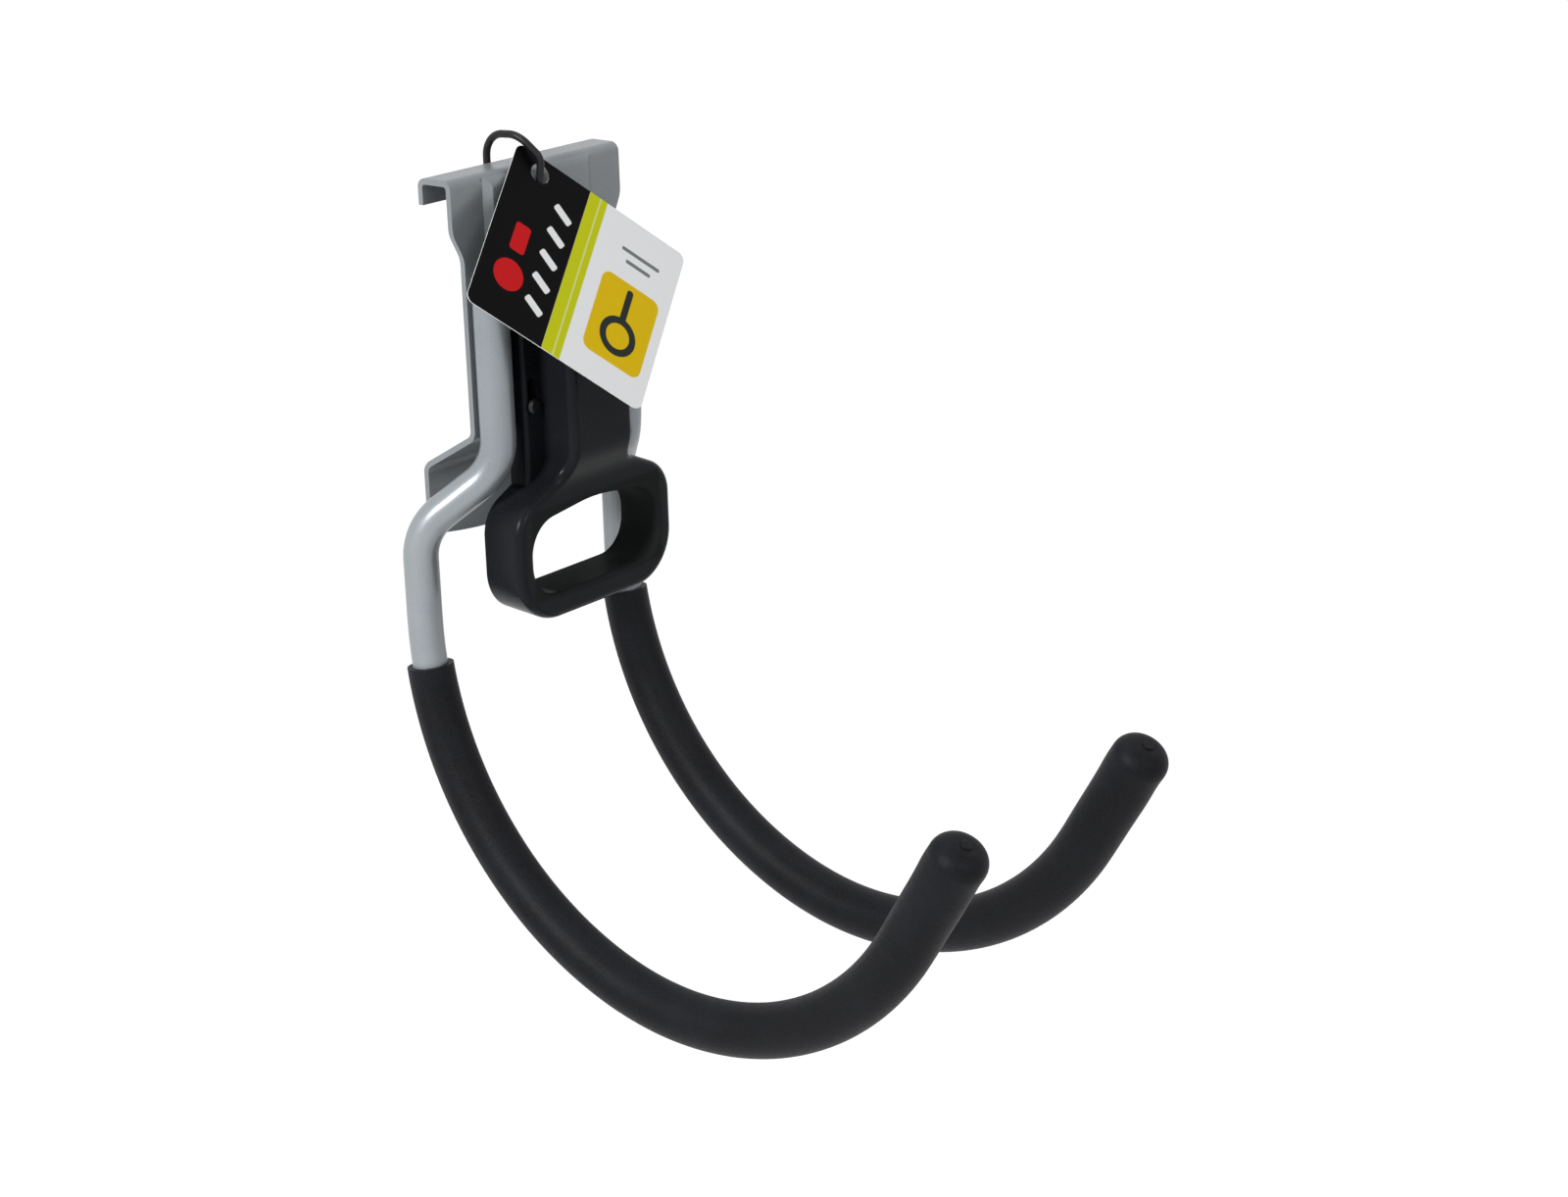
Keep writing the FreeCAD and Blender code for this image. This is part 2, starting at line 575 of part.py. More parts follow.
def rivet_slot(x, z):
    """Slot in the latch's base for one shoulder rivet, as long as the travel."""
    half = RIVET_SHANK_R + RIVET_PLAY
    high = z + half + TRAVEL
    low = z - half
    points = [(x + half, high), (x + half, low), (x - half, low), (x - half, high)]
    return prism_y(points, [half - SLOT_STRAIGHT] * 4, SLIDE_Y + BEYOND, BASE_FRONT_Y - BEYOND)


def catch():
    """Bridge through the backplate's window and the finger that stands behind the rail's lower lip."""
    finger_front = WEB_BACK_Y + CATCH_LIP_GAP
    finger_back = finger_front + CATCH_THICK
    bridge_z = CATCH_BRIDGE_TOP_Z - CATCH_BRIDGE_HEIGHT
    inside_y = RIB_FRONT_Y + LATCH_WALL / 2
    profile = [
        (inside_y, bridge_z), (finger_back, bridge_z), (finger_back, CATCH_TIP_Z - CATCH_RAMP),
        (finger_back - CATCH_RAMP, CATCH_TIP_Z), (finger_front, CATCH_TIP_Z),
        (finger_front, CATCH_BRIDGE_TOP_Z), (inside_y, CATCH_BRIDGE_TOP_Z),
    ]
    corners = [V(-CATCH_HALF, y, z) for y, z in profile]
    return Part.Face(Part.makePolygon(corners + [corners[0]])).extrude(V(2 * CATCH_HALF, 0, 0))


def latch_spring():
    """Compression spring between the tab and the ceiling of the latch."""
    low = TAB_Z + SPRING_WIRE_R + SPRING_FIT
    high = CEILING_Z - SPRING_WIRE_R - SPRING_FIT
    length = high - low
    helix = Part.makeHelix(length / SPRING_TURNS, length, SPRING_R)
    section = Part.Wire([Part.makeCircle(SPRING_WIRE_R, V(SPRING_R, 0, 0), V(0, 1, 0))])
    spring = Part.Wire(helix.Edges).makePipeShell([section], True, True)
    spring.translate(V(0, SPRING_Y, low))
    return spring


def tag_loop():
    """Closed loop through the hole in the web, up behind the lip, over the flange and through the tag."""
    points = [V(*p) for p in LOOP_POINTS]
    edges = rounded_edges(points, list(LOOP_RADII), closed=True)
    middle = len(edges) // 2
    return tube(edges[:middle], LOOP_R).fuse(tube(edges[middle:], LOOP_R)).removeSplitter()


def tag_frame():
    """Place of the tag: the centre of its hole, its yaw, its lean and its turn in its own plane."""
    turn = FreeCAD.Rotation(V(0, 1, 0), TAG_TURN)
    lean = FreeCAD.Rotation(V(1, 0, 0), -TAG_LEAN)
    yaw = FreeCAD.Rotation(V(0, 0, 1), TAG_YAW)
    return FreeCAD.Placement(V(*TAG_HOLE_AT), yaw.multiply(lean).multiply(turn))


def hang_tag():
    """Flat card with rounded corners and a hole, hung by the hole's upper edge."""
    left = -TAG_HOLE_IN[0]
    top = TAG_HOLE_IN[1]
    right = left + TAG_LONG
    low = top - TAG_SHORT
    points = [(left, top), (right, top), (right, low), (left, low)]
    card = prism_y(points, [TAG_CORNER] * 4, -TAG_THICK / 2, TAG_THICK / 2)
    hole = Part.makeCylinder(TAG_HOLE_R, 4 * TAG_THICK, V(0, -2 * TAG_THICK, 0), V(0, 1, 0))
    card = card.cut(hole)
    card.Placement = tag_frame()
    return card


def write(name, shape):
    shape.exportStep(os.path.join("parts", name + ".step"))
    print(f"{name:18s} volume {shape.Volume:10.1f} solids {len(shape.Solids)} valid {shape.isValid()}")


def main():
    os.makedirs("parts", exist_ok=True)
    write("backplate", backplate())
    for name, side in (("left", -1), ("right", 1)):
        write("rod_arm_" + name, rod(side))
        write("grip_" + name, grip(side))
    write("weld_beads", weld_beads())
    write("guide_rivets", guide_rivets())
    write("latch", latch())
    write("latch_spring", latch_spring())
    write("tag_loop", tag_loop())
    write("hang_tag", hang_tag())


main()
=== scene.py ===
"""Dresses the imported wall-rail utility hook: procedural materials, a plain studio and the photograph's view."""
import math

import bmesh
import bpy
from mathutils import Matrix, Vector


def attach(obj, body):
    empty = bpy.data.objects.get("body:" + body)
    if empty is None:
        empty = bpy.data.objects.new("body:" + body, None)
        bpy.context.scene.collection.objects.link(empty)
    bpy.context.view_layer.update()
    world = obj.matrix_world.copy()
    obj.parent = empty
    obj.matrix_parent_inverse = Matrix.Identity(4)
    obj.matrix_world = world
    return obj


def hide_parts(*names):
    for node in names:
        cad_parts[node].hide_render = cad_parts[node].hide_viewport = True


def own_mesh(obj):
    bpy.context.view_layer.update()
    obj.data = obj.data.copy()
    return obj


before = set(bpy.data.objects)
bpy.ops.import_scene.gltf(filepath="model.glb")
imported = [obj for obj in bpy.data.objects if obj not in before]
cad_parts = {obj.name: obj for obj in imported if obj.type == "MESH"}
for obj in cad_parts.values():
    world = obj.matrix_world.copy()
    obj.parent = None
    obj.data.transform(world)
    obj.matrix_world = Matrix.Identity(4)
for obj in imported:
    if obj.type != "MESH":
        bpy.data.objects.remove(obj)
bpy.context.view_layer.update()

# Camera, in the row frame
CAM_AT = Vector((-0.7447, -0.7248, 0.1974))
CAM_AZ = math.radians(-50.37)
CAM_EL = math.radians(18.78)
CAM_ROLL = math.radians(-1.61)
CAM_LENS = 72.0
CAM_SENSOR = 36.0
CAM_CLIP = 0.01

# Studio
FLOOR_Z = -0.9
FLOOR_SIZE = 60
FLOOR_GREYS = (0.80, 0.82)     # linear, at both ends of its faint unevenness
FLOOR_ROUGH = 0.9
# Distance from the middle of the floor in metres, and how much white is added there
FLOOR_GLOW_NEAR = (1.0, 0.60)
FLOOR_GLOW_FAR = (4.0, 0.84)
WORLD_LIGHT = 0.22             # strength of the white world where it lights things; it shows as 1
OBJECT_MIDDLE = (0, -0.08, -0.12)
# Name, place and size in metres, watts; each faces the object's middle
LIGHTS = (
    ("key", (-1.9, 0.0, 0.9), (0.45, 0.45), 42),
    ("top", (0.1, 0.1, 1.9), (0.9, 0.9), 8),
    ("fill", (-0.5, -2.1, 1.0), (1.0, 1.0), 11),
)

# Tones as sRGB 0 to 255; a pair is the dark and the light end of an uneven tone
# Painted shade: the plate's coat sits a little darker than the rods' although both are one coat, for the plate's
# shaded web
PLATE_SHADED_TONES = ((122, 128, 132), (137, 142, 146))
ROD_TONES = ((132, 139, 144), (146, 152, 156))
WELD_TONES = ((120, 124, 128), (150, 154, 157))
FLAKE_TONE = (214, 217, 219)
FOAM_TONES = ((13, 13, 16), (24, 25, 29))
BLOOM_TONE = (38, 40, 46)
LATCH_TONES = ((20, 22, 25), (27, 29, 33))
# Painted shade: the flat tone inside the latch's finger opening
OPENING_PAINTED_SHADE_TONE = (44, 46, 46)
LOOP_TONES = ((14, 14, 16), (22, 22, 25))
RIVET_TONES = ((40, 41, 43), (60, 60, 60))
SPRING_TONES = ((138, 139, 141), (158, 158, 158))
PAPER_TONES = ((214, 216, 211), (228, 229, 225))
INK_BLACK = (4, 4, 6)
INK_PALE = (240, 241, 242)
INK_LIME = (200, 206, 30)
INK_LIGHT_LIME = (222, 224, 150)
INK_RED = (204, 32, 36)
INK_YELLOW = (226, 190, 24)
INK_DARK = (44, 50, 48)
INK_GREY = (120, 126, 126)

# Roughness, from the smoothest to the dullest places
PLATE_ROUGH = (0.28, 0.34)
ROD_ROUGH = (0.26, 0.32)
WELD_ROUGH = (0.38, 0.50)
FOAM_ROUGH = (0.42, 0.58)
LATCH_ROUGH = (0.18, 0.28)
LOOP_ROUGH = (0.34, 0.46)
RIVET_ROUGH = (0.30, 0.42)
SPRING_ROUGH = (0.23, 0.35)
CARD_ROUGH = (0.30, 0.42)
ADDED_ROUGH = (0.0, 0.05)          # what a second unevenness adds to the coat's and the latch's

# Reflection, and shares of a second tone
COAT_METALLIC = 0.35
STEEL_METALLIC = 0.9
COAT_SPECULAR = 0.3
FOAM_SPECULAR = 0.1
LATCH_SPECULAR = 0.08
# Painted shade: the reflection inside the latch's finger opening is nearly turned off
OPENING_PAINTED_SHADE_SPECULAR = 0.003
LOOP_SPECULAR = 0.25
CARD_SPECULAR = 0.06
FLAKE_SHARE = 0.12
BLOOM_SHARE = 0.35
NOISE_LOW, NOISE_HIGH = 0.3, 0.7   # most of a noise's values lie between these

# The hang tag's printed face in metres: one corner, the long and the short way, and the way it faces
TAG_CORNER = (-0.006749, -0.005605, 0.009414)
TAG_LONG_WAY = (0.6848, -0.3880, -0.6169)
TAG_SHORT_WAY = (-0.7263, -0.2942, -0.6212)
TAG_FACING = (-0.05954, -0.87344, 0.48328)
FACE_BAND = (-0.00016, -0.00008)   # from paper to print, along the way that it faces
PRINT_EDGE = 0.00012

# The print in metres: places along the long and the short way from the corner, and half sizes
BLACK_FIELD_END = 0.0306
STRIPE = dict(middle=(0.0343, 0.0327), half=(0.0037, 0.05))
STRIPE_LINE = dict(middle=(0.0352, 0.0327), half=(0.0003, 0.05))
SLANT_BAR_PLACES = (0.0150, 0.0245, 0.0340, 0.0435, 0.0530)
SLANT_BAR_AT = 0.0235
SLANT_BAR = dict(half=(0.0040, 0.0014), corner=0.0008, turn=28)
RED_DISC = dict(middle=(0.0115, 0.0480), radius=0.0058)
RED_BLOCK = dict(middle=(0.0115, 0.0330), half=(0.0030, 0.0055), corner=0.0012)
SIGN_AT = 0.0560
SIGN_FIELD = dict(middle=(SIGN_AT, 0.0395), half=(0.0120, 0.0160), corner=0.0035)
SIGN_RING = dict(middle=(SIGN_AT, 0.0445), radius=0.0060, half_width=0.0013)
SIGN_BAR = dict(middle=(SIGN_AT, 0.0320), half=(0.0013, 0.0064), corner=0.0012)
GREY_LINES = ((0.0120, 0.0080), (0.0160, 0.0052))   # place along the short way, half length
GREY_LINE_HALF = 0.0007
GREY_LINE_CORNER = 0.0006

# The latch's finger opening in metres, where painted shade goes: half width, lower and upper face, and how far
# the painted shade takes to fade
OPENING_HALF = 0.0314
OPENING_LOW = -0.1398
OPENING_HIGH = -0.1090
OPENING_FADE = 0.0014

# The latch's spring in metres
SPRING_TURNS = 7
SPRING_STEPS = 40              # points to a turn
SPRING_SIDES = 14
SPRING_WIRE = 0.00065
SPRING_COIL = 0.0042
SPRING_AXIS_Y = -0.02025
SPRING_FOOT_Z = -0.06675
SPRING_HEAD_Z = -0.04145


class Mat:
    """A node material under construction."""

    def __init__(self, name):
        self.mat = bpy.data.materials.new(name)
        self.mat.use_nodes = True
        self.nodes = self.mat.node_tree.nodes
        self.links = self.mat.node_tree.links
        self.bsdf = next(n for n in self.nodes if n.type == "BSDF_PRINCIPLED")
        self.coord = self.nodes.new("ShaderNodeTexCoord").outputs["Object"]

    def link(self, a, b):
        self.links.new(a, b)

    def set(self, **values):
        for key, value in values.items():
            self.bsdf.inputs[key.replace("_", " ")].default_value = value

    def put(self, socket, value):
        if isinstance(value, bpy.types.NodeSocket):
            self.link(value, socket)
        else:
            socket.default_value = value

    def math(self, op, a, b=0.0):
        n = self.nodes.new("ShaderNodeMath")
        n.operation = op
        self.put(n.inputs[0], a)
        self.put(n.inputs[1], b)
        return n.outputs[0]

    def noise(self, scale, detail, rough, vector=None):
        n = self.nodes.new("ShaderNodeTexNoise")
        n.inputs["Scale"].default_value = scale
        n.inputs["Detail"].default_value = detail
        n.inputs["Roughness"].default_value = rough
        self.link(vector or self.coord, n.inputs["Vector"])
        return n.outputs["Fac"]

    def voronoi(self, scale, output="Distance"):
        n = self.nodes.new("ShaderNodeTexVoronoi")
        n.inputs["Scale"].default_value = scale
        self.link(self.coord, n.inputs["Vector"])
        return n.outputs[output]

    def stretched(self, scale):
        n = self.nodes.new("ShaderNodeMapping")
        self.link(self.coord, n.inputs["Vector"])
        n.inputs["Scale"].default_value = scale
        return n.outputs["Vector"]

    def span(self, value, lo, hi, to_lo=0.0, to_hi=1.0):
        n = self.nodes.new("ShaderNodeMapRange")
        self.put(n.inputs["Value"], value)
        for key, v in (("From Min", lo), ("From Max", hi), ("To Min", to_lo), ("To Max", to_hi)):
            n.inputs[key].default_value = v
        return n.outputs["Result"]

    def spread(self, noise, to_lo=0.0, to_hi=1.0):
        return self.span(noise, NOISE_LOW, NOISE_HIGH, to_lo, to_hi)

    def mix(self, fac, a, b):
        n = self.nodes.new("ShaderNodeMix")
        n.data_type = "RGBA"
        self.put(n.inputs[0], fac)
        for socket, value in ((n.inputs[6], a), (n.inputs[7], b)):
            self.put(socket, value if isinstance(value, bpy.types.NodeSocket) else (*value, 1.0))
        return n.outputs[2]

    def bump(self, height, strength, distance, normal=None):
        n = self.nodes.new("ShaderNodeBump")
        n.inputs["Strength"].default_value = strength
        n.inputs["Distance"].default_value = distance
        self.link(height, n.inputs["Height"])
        if normal is not None:
            self.link(normal, n.inputs["Normal"])
        return n.outputs["Normal"]

    def dot(self, direction, offset=(0, 0, 0)):
        s = self.nodes.new("ShaderNodeVectorMath")
        s.operation = "SUBTRACT"
        self.link(self.coord, s.inputs[0])
        s.inputs[1].default_value = offset
        d = self.nodes.new("ShaderNodeVectorMath")
        d.operation = "DOT_PRODUCT"
        self.link(s.outputs[0], d.inputs[0])
        d.inputs[1].default_value = direction
        return d.outputs["Value"]

    def base(self, value):
        self.put(self.bsdf.inputs["Base Color"], value)

    def rough(self, value):
        self.put(self.bsdf.inputs["Roughness"], value)

    def normal(self, value):
        self.link(value, self.bsdf.inputs["Normal"])


class Print:
    """Flat shapes in a printed face's two directions, each a 0 to 1 mask with a fine soft edge."""

    def __init__(self, mat, across, along):
        self.mat = mat
        self.at = (across, along)

    def inside(self, distance):
        return self.mat.span(distance, -PRINT_EDGE, PRINT_EDGE, 1.0, 0.0)

    def _from(self, middle):
        return [self.mat.math("SUBTRACT", p, c) for p, c in zip(self.at, middle)]

    def _length(self, x, y):
        m = self.mat
        return m.math("SQRT", m.math("ADD", m.math("MULTIPLY", x, x), m.math("MULTIPLY", y, y)))

    def box(self, middle, half, corner=0.0, turn=0.0):
        m = self.mat
        x, y = self._from(middle)
        if turn:
            c, s = math.cos(math.radians(turn)), math.sin(math.radians(turn))
            x, y = (m.math("ADD", m.math("MULTIPLY", x, c), m.math("MULTIPLY", y, s)),
                    m.math("SUBTRACT", m.math("MULTIPLY", y, c), m.math("MULTIPLY", x, s)))
        qx, qy = (m.math("SUBTRACT", m.math("ABSOLUTE", v), h - corner)
                  for v, h in zip((x, y), half))
        outer = self._length(m.math("MAXIMUM", qx, 0.0), m.math("MAXIMUM", qy, 0.0))
        inner = m.math("MINIMUM", m.math("MAXIMUM", qx, qy), 0.0)
        return self.inside(m.math("SUBTRACT", m.math("ADD", outer, inner), corner))

    def disc(self, middle, radius):
        return self.inside(self.mat.math("SUBTRACT", self._length(*self._from(middle)), radius))

    def ring(self, middle, radius, half_width):
        m = self.mat
        away = m.math("ABSOLUTE", m.math("SUBTRACT", self._length(*self._from(middle)), radius))
        return self.inside(m.math("SUBTRACT", away, half_width))


def lin(tone):
    """sRGB 0-255 to linear."""
    out = []
    for c in tone:
        c /= 255.0
        out.append(c / 12.92 if c <= 0.04045 else ((c + 0.055) / 1.055) ** 2.4)
    return tuple(out)


def uneven(m, share, tones):
    """A tone between the two given ones."""
    return m.mix(share, lin(tones[0]), lin(tones[1]))


def coated_steel(name, tones, rough):
    """Silver powder coat: broad unevenness, fine flakes and a light orange peel."""
    m = Mat(name)
    broad = m.noise(26, detail=4, rough=0.55)
    peel = m.noise(900, detail=3, rough=0.5)
    flake = m.voronoi(5200, output="Color")
    tone = uneven(m, m.span(broad, 0.32, 0.68), tones)
    m.base(m.mix(m.math("MULTIPLY", m.span(flake, 0.0, 1.0), FLAKE_SHARE), tone, lin(FLAKE_TONE)))
    m.set(Metallic=COAT_METALLIC, Specular_IOR_Level=COAT_SPECULAR)
    m.rough(m.math("ADD", m.spread(broad, *rough), m.spread(peel, *ADDED_ROUGH)))
    waves = m.bump(broad, strength=0.25, distance=0.0003)
    m.normal(m.bump(peel, strength=0.22, distance=0.00006, normal=waves))
    return m.mat


def foam_material():
    """Dipped foam: a matte skin with fine pores, and a worn greyish bloom in places."""
    m = Mat("dipped_foam")
    cells = m.voronoi(1700)
    grain = m.noise(1100, detail=5, rough=0.65)
    bloom = m.noise(34, detail=4, rough=0.6)
    tone = uneven(m, m.span(grain, 0.35, 0.7), FOAM_TONES)
    m.base(m.mix(m.span(bloom, 0.45, 0.75, 0.0, BLOOM_SHARE), tone, lin(BLOOM_TONE)))
    m.rough(m.spread(grain, *FOAM_ROUGH))
    m.set(Specular_IOR_Level=FOAM_SPECULAR)
    waves = m.bump(bloom, strength=0.3, distance=0.0006)
    skin = m.bump(grain, strength=0.45, distance=0.0002, normal=waves)
    m.normal(m.bump(cells, strength=0.5, distance=0.00012, normal=skin))
    return m.mat


def opening_painted_shade_mask(m):
    """1 on the faces inside the finger opening, where painted shade goes, 0 elsewhere on the latch."""
    across = m.math("ABSOLUTE", m.dot((1, 0, 0)))
    height = m.dot((0, 0, 1))
    sides = m.span(across, OPENING_HALF, OPENING_HALF + OPENING_FADE, 1.0, 0.0)
    low = m.span(height, OPENING_LOW - OPENING_FADE, OPENING_LOW)
    high = m.span(height, OPENING_HIGH, OPENING_HIGH + OPENING_FADE, 1.0, 0.0)
    return m.math("MULTIPLY", sides, m.math("MULTIPLY", low, high))


def latch_material():
    """Black moulded plastic with a fine grain and slight unevenness; painted shade inside the finger opening, a
    flat tone of its own with its reflection nearly turned off.
    """
    m = Mat("black_moulded_plastic")
    grain = m.noise(2200, detail=3, rough=0.5)
    broad = m.noise(38, detail=3, rough=0.5)
    # Painted shade inside the finger opening: its own flat tone and almost no reflection
    inside = opening_painted_shade_mask(m)
    m.base(m.mix(inside, uneven(m, m.spread(broad), LATCH_TONES), lin(OPENING_PAINTED_SHADE_TONE)))
    m.rough(m.math("ADD", m.spread(grain, *LATCH_ROUGH), m.spread(broad, *ADDED_ROUGH)))
    specular = m.span(inside, 0.0, 1.0, LATCH_SPECULAR, OPENING_PAINTED_SHADE_SPECULAR)
    m.put(m.bsdf.inputs["Specular IOR Level"], specular)
    waves = m.bump(broad, strength=0.2, distance=0.0005)
    m.normal(m.bump(grain, strength=0.25, distance=0.00005, normal=waves))
    return m.mat


def loop_material():
    """Black moulded plastic of the tag's loop."""
    m = Mat("black_loop_plastic")
    grain = m.noise(2000, detail=3, rough=0.5)
    m.base(uneven(m, grain, LOOP_TONES))
    m.set(Specular_IOR_Level=LOOP_SPECULAR)
    m.rough(m.spread(grain, *LOOP_ROUGH))
    m.normal(m.bump(grain, strength=0.25, distance=0.00005))
    return m.mat


def steel_material(name, tones, rough):
    """Bare or zinc-plated steel."""
    m = Mat(name)
    grain = m.noise(900, detail=4, rough=0.6)
    m.base(uneven(m, grain, tones))
    m.set(Metallic=STEEL_METALLIC)
    m.rough(m.spread(grain, *rough))
    m.normal(m.bump(grain, strength=0.3, distance=0.0001))
    return m.mat


def weld_material():
    """A weld bead under the coat: rippled along its run and a little darker than the rods."""
    m = Mat("coated_weld")
    ripple = m.noise(420, detail=3, rough=0.6, vector=m.stretched((0.25, 0.25, 1.0)))
    broad = m.noise(60, detail=3, rough=0.5)
    m.base(uneven(m, m.spread(broad), WELD_TONES))
    m.set(Metallic=COAT_METALLIC)
    m.rough(m.spread(ripple, *WELD_ROUGH))
    m.normal(m.bump(ripple, strength=0.6, distance=0.0004))
    return m.mat


def card_material():
    """Coated card with print on its face: a black, a lime and a pale field, and plain shapes on them."""
    m = Mat("printed_card")
    fibre = m.noise(1400, detail=5, rough=0.6)
    paper = uneven(m, fibre, PAPER_TONES)
    across = m.dot(TAG_LONG_WAY, TAG_CORNER)
    along = m.dot(TAG_SHORT_WAY, TAG_CORNER)
    p = Print(m, across, along)
    past_black = m.math("SUBTRACT", across, BLACK_FIELD_END)
    ink = m.mix(p.inside(past_black), lin(INK_PALE), lin(INK_BLACK))
    ink = m.mix(p.box(**STRIPE), ink, lin(INK_LIME))
    ink = m.mix(p.box(**STRIPE_LINE), ink, lin(INK_LIGHT_LIME))
    for place in SLANT_BAR_PLACES:
        ink = m.mix(p.box((SLANT_BAR_AT, place), **SLANT_BAR), ink, lin(INK_PALE))
    ink = m.mix(p.disc(**RED_DISC), ink, lin(INK_RED))
    ink = m.mix(p.box(**RED_BLOCK), ink, lin(INK_RED))
    ink = m.mix(p.box(**SIGN_FIELD), ink, lin(INK_YELLOW))
    ink = m.mix(p.ring(**SIGN_RING), ink, lin(INK_DARK))
    ink = m.mix(p.box(**SIGN_BAR), ink, lin(INK_DARK))
    for place, half_length in GREY_LINES:
        line = p.box((SIGN_AT, place), (half_length, GREY_LINE_HALF), GREY_LINE_CORNER)
        ink = m.mix(line, ink, lin(INK_GREY))
    m.base(m.mix(m.span(m.dot(TAG_FACING, TAG_CORNER), *FACE_BAND), paper, ink))
    m.rough(m.spread(fibre, *CARD_ROUGH))
    m.set(Specular_IOR_Level=CARD_SPECULAR)
    m.normal(m.bump(fibre, strength=0.12, distance=0.00003))
    return m.mat


MATERIALS = {
    "backplate": coated_steel("plate_powder_coat", PLATE_SHADED_TONES, PLATE_ROUGH),
    "weld_beads": weld_material(),
    "guide_rivets": steel_material("rivet_dark_zinc", RIVET_TONES, RIVET_ROUGH),
    "latch_spring": steel_material("spring_wire", SPRING_TONES, SPRING_ROUGH),
    "latch": latch_material(),
    "tag_loop": loop_material(),
    "hang_tag": card_material(),
}
rods = coated_steel("rod_powder_coat", ROD_TONES, ROD_ROUGH)
foam = foam_material()
for side in ("left", "right"):
    MATERIALS["rod_arm_" + side] = rods
    MATERIALS["grip_" + side] = foam
for node, material in MATERIALS.items():
    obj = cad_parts[node]
    obj.data.materials.clear()
    obj.data.materials.append(material)


def spring_coil():
    """The latch's spring as a piece of its own: a coil mesh built in place of the imported one."""
    low = SPRING_FOOT_Z + SPRING_WIRE
    rise = (SPRING_HEAD_Z - SPRING_WIRE - low) / SPRING_TURNS
    slope = rise / (2 * math.pi * SPRING_COIL)
    angles = [2 * math.pi * k / SPRING_SIDES for k in range(SPRING_SIDES)]
    mesh = bmesh.new()
    rings = []
    for i in range(SPRING_TURNS * SPRING_STEPS + 1):
        turn = 2 * math.pi * i / SPRING_STEPS
        out = Vector((math.cos(turn), math.sin(turn), 0))
        along = Vector((-math.sin(turn), math.cos(turn), slope)).normalized()
        across = along.cross(out)
        middle = Vector((0, SPRING_AXIS_Y, low + rise * i / SPRING_STEPS)) + out * SPRING_COIL
        spokes = [out * math.cos(a) + across * math.sin(a) for a in angles]
        rings.append([mesh.verts.new(middle + spoke * SPRING_WIRE) for spoke in spokes])
    for one, two in zip(rings, rings[1:]):
        for k in range(SPRING_SIDES):
            mesh.faces.new((one[k - 1], one[k], two[k], two[k - 1]))
    mesh.faces.new(rings[0])
    mesh.faces.new(reversed(rings[-1]))
    bmesh.ops.recalc_face_normals(mesh, faces=mesh.faces)
    for face in mesh.faces:
        face.smooth = len(face.verts) == 4
    data = bpy.data.meshes.new("spring_coil")
    mesh.to_mesh(data)
    mesh.free()
    coil = bpy.data.objects.new("spring_coil", data)
    bpy.context.collection.objects.link(coil)
    coil.data.materials.append(MATERIALS["latch_spring"])
    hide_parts("latch_spring")
    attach(coil, "hook")
    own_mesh(coil)


def seen_directly(nodes, links):
    """1 for rays that show the background: from the camera, off gloss or through glass; else 0."""
    path = nodes.new("ShaderNodeLightPath")
    most = path.outputs["Is Camera Ray"]
    for name in ("Is Glossy Ray", "Is Transmission Ray"):
        n = nodes.new("ShaderNodeMath")
        n.operation = "MAXIMUM"
        links.new(most, n.inputs[0])
        links.new(path.outputs[name], n.inputs[1])
        most = n.outputs[0]
    return most


def floor_material():
    """A pale matte floor that shows white where no shadow falls on it."""
    m = Mat("studio_floor")
    grain = m.noise(3, detail=3, rough=0.5)
    m.base(m.mix(grain, *((grey, grey, grey) for grey in FLOOR_GREYS)))
    m.set(Roughness=FLOOR_ROUGH)
    m.bsdf.inputs["Emission Color"].default_value = (1, 1, 1, 1)
    away = m.nodes.new("ShaderNodeVectorMath")
    away.operation = "LENGTH"
    m.link(m.coord, away.inputs[0])
    (near, near_glow), (far, far_glow) = FLOOR_GLOW_NEAR, FLOOR_GLOW_FAR
    glow = m.span(away.outputs["Value"], near, far, near_glow, far_glow)
    m.put(m.bsdf.inputs["Emission Strength"], m.math("MULTIPLY", glow, seen_directly(m.nodes, m.links)))
    return m.mat


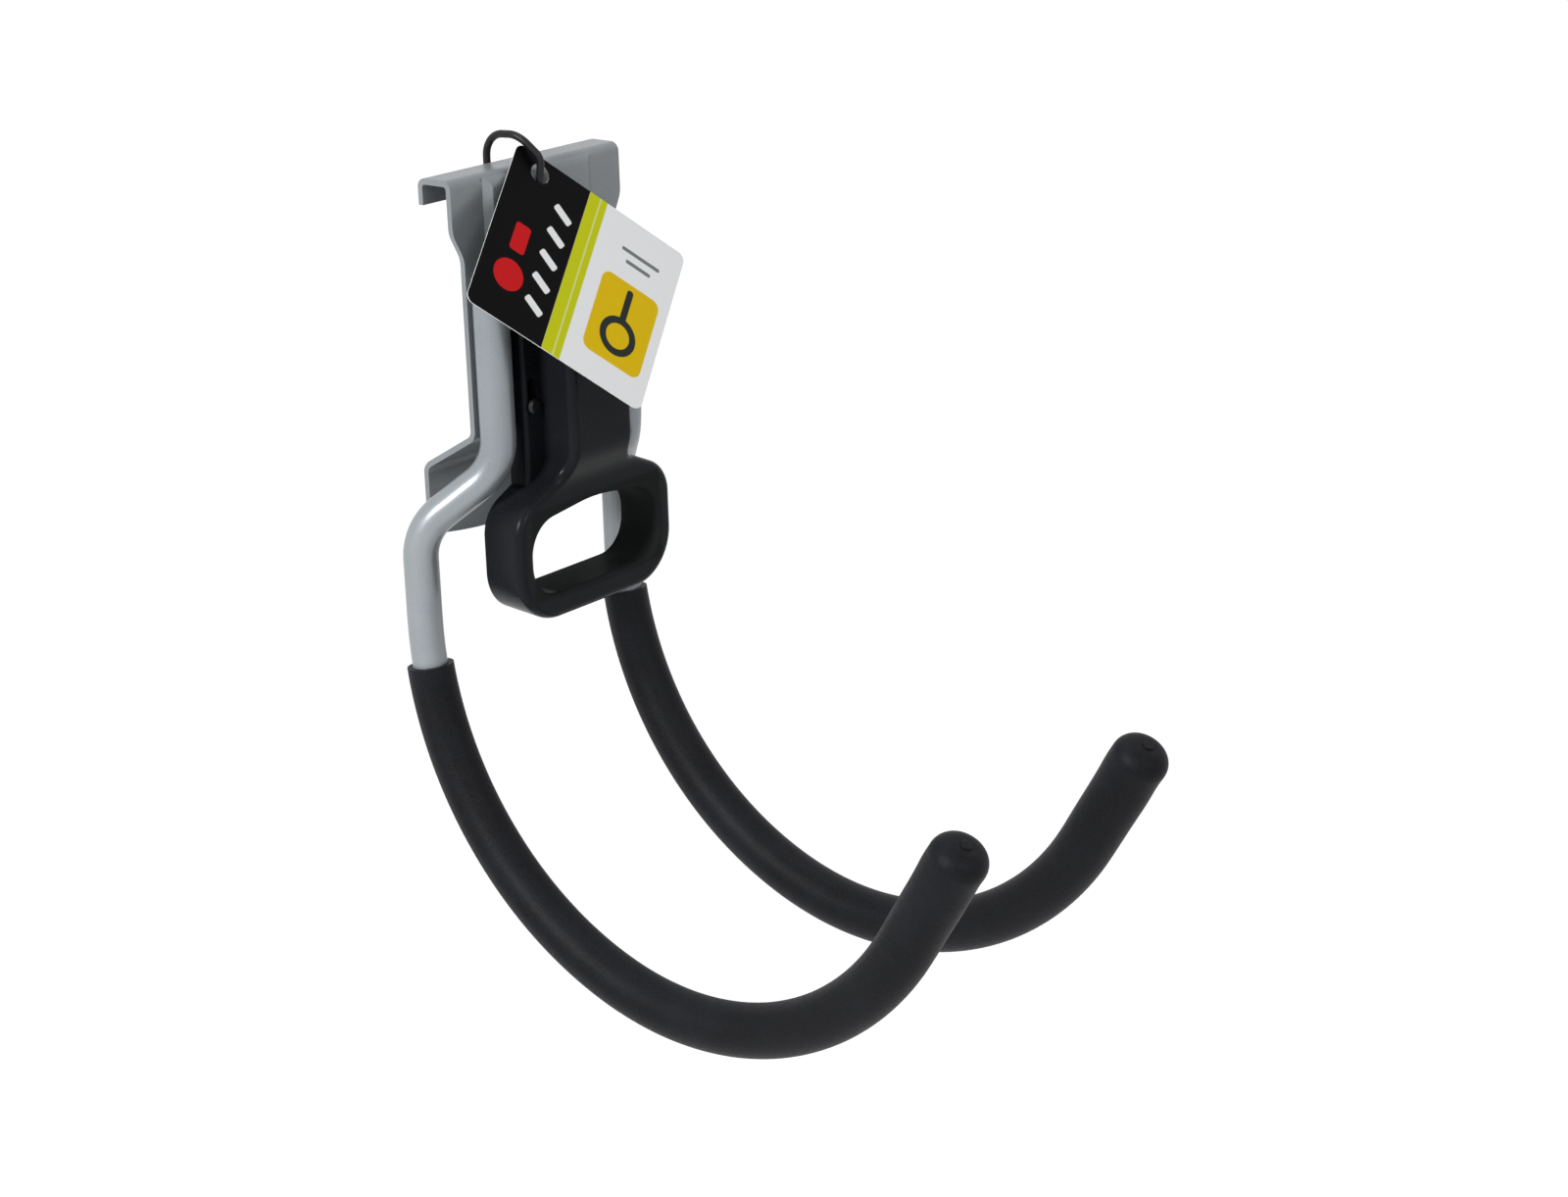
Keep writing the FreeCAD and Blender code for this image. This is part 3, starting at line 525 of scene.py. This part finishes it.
def studio():
    """The floor and a white world that lights things less than it shows."""
    bpy.ops.mesh.primitive_plane_add(size=FLOOR_SIZE, location=(0, 0, FLOOR_Z))
    floor = bpy.context.object
    floor.name = "studio_floor"
    floor.data.materials.append(floor_material())
    world = bpy.data.worlds.new("studio_world")
    bpy.context.scene.world = world
    world.use_nodes = True
    nodes = world.node_tree.nodes
    links = world.node_tree.links
    background = nodes["Background"]
    background.inputs["Color"].default_value = (1, 1, 1, 1)
    span = nodes.new("ShaderNodeMapRange")
    links.new(seen_directly(nodes, links), span.inputs["Value"])
    span.inputs["To Min"].default_value = WORLD_LIGHT
    span.inputs["To Max"].default_value = 1.0
    links.new(span.outputs["Result"], background.inputs["Strength"])


def area_light(name, at, size, watts):
    """A soft light that faces the object's middle."""
    data = bpy.data.lights.new(name, "AREA")
    data.shape = "RECTANGLE"
    data.size, data.size_y = size
    data.energy = watts
    obj = bpy.data.objects.new(name, data)
    bpy.context.collection.objects.link(obj)
    obj.location = at
    obj.rotation_euler = (Vector(OBJECT_MIDDLE) - Vector(at)).to_track_quat("-Z", "Y").to_euler()


def camera():
    """The camera, turned by its azimuth and elevation and rolled about its own axis."""
    data = bpy.data.cameras.new("camera")
    data.lens = CAM_LENS
    data.sensor_width = CAM_SENSOR
    obj = bpy.data.objects.new("camera", data)
    bpy.context.collection.objects.link(obj)
    right = Vector((math.cos(CAM_AZ), math.sin(CAM_AZ), 0))
    level_back = Vector((math.sin(CAM_AZ), -math.cos(CAM_AZ), 0))
    back = level_back * math.cos(CAM_EL) + Vector((0, 0, math.sin(CAM_EL)))
    up = back.cross(right)
    c, s = math.cos(CAM_ROLL), math.sin(CAM_ROLL)
    m = Matrix((right * c + up * s, up * c - right * s, back)).transposed().to_4x4()
    m.translation = CAM_AT
    obj.matrix_world = m
    data.clip_start = CAM_CLIP
    bpy.context.scene.camera = obj


spring_coil()
studio()
for light in LIGHTS:
    area_light(*light)
camera()
bpy.context.scene.view_settings.view_transform = "Standard"
